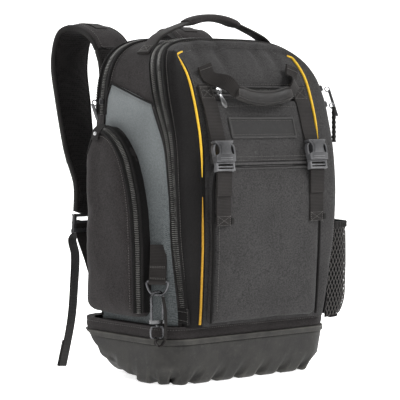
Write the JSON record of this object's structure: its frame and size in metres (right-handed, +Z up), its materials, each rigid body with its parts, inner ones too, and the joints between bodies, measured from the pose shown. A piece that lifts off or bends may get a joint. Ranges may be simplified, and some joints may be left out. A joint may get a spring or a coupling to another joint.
{
  "type": "tool backpack",
  "caption": "Padded cloth tool backpack on a moulded rubber base, with buckled front straps, a zipped side pocket, a mesh bottle pocket and shoulder straps.",
  "frame": {"origin": "on the floor plane, at the centre of the base's underside", "axes": "+Z up, front pockets face -Y, shoulder straps towards +Y, mesh bottle pocket on +X"},
  "size_m": [0.4088, 0.3593, 0.5357],
  "materials": {
    "rubber": "matte moulded",
    "cloth_black": "coarse woven polyester",
    "mesh_black": "open mesh",
    "cloth_grey": "coarse woven polyester",
    "zip_black": "coil zip and tape",
    "piping_yellow": "smooth bound piping",
    "plastic_black": "satin",
    "webbing": "ribbed webbing",
    "gunmetal": "dark plated",
    "silver": "satin plated"
  },
  "bodies": {
    "pack": {"base_tub": "rubber", "front_grip": "rubber", "top_grip": "rubber", "base_band": "cloth_black", "main_bag": "cloth_black", "front_bag": "cloth_black", "front_pocket": "cloth_black", "front_flap": "cloth_black", "side_pocket": "cloth_black", "mesh_hem": "cloth_black", "shoulder_strap_left": "cloth_black", "shoulder_strap_right": "cloth_black", "back_panel": "mesh_black", "mesh_pocket": "mesh_black", "side_panel_left": "cloth_grey", "side_panel_right": "cloth_grey", "rear_zip": "zip_black", "expansion_zip": "zip_black", "top_pocket_zip": "zip_black", "side_pocket_zip": "zip_black", "piping_left_upper": "piping_yellow", "piping_left_lower": "piping_yellow", "piping_right_upper": "piping_yellow", "patch": "plastic_black", "buckle_left": "plastic_black", "buckle_right": "plastic_black", "buckle_ladder_left": "plastic_black", "buckle_ladder_right": "plastic_black", "adjuster_left": "plastic_black", "adjuster_right": "plastic_black", "sternum_buckle": "plastic_black", "front_strap_upper_left": "webbing", "front_strap_upper_right": "webbing", "front_strap_lower_left": "webbing", "front_strap_lower_right": "webbing", "front_handle_left": "webbing", "front_handle_right": "webbing", "top_handle_left": "webbing", "top_handle_right": "webbing", "strap_anchor_left": "webbing", "strap_anchor_right": "webbing", "strap_tail_left": "webbing", "strap_tail_right": "webbing", "sternum_strap_left": "webbing", "sternum_strap_right": "webbing", "ring_tab": "webbing", "tape_strap": "webbing", "d_ring": "gunmetal", "snap_hook": "gunmetal", "hook_loop": "gunmetal", "top_pocket_pull": "silver"},
    "gate": {"hook_gate": "gunmetal"}
  },
  "joints": [
    {"name": "gate_hinge", "type": "hinge", "parent": "pack", "child": "gate", "pos_m": [-0.16348, -0.091, 0.0995], "axis": [-0.3429, -0.9394, 0], "range_deg": [0, 20], "stiffness_Nm_per_rad": 0.02}
  ]
}
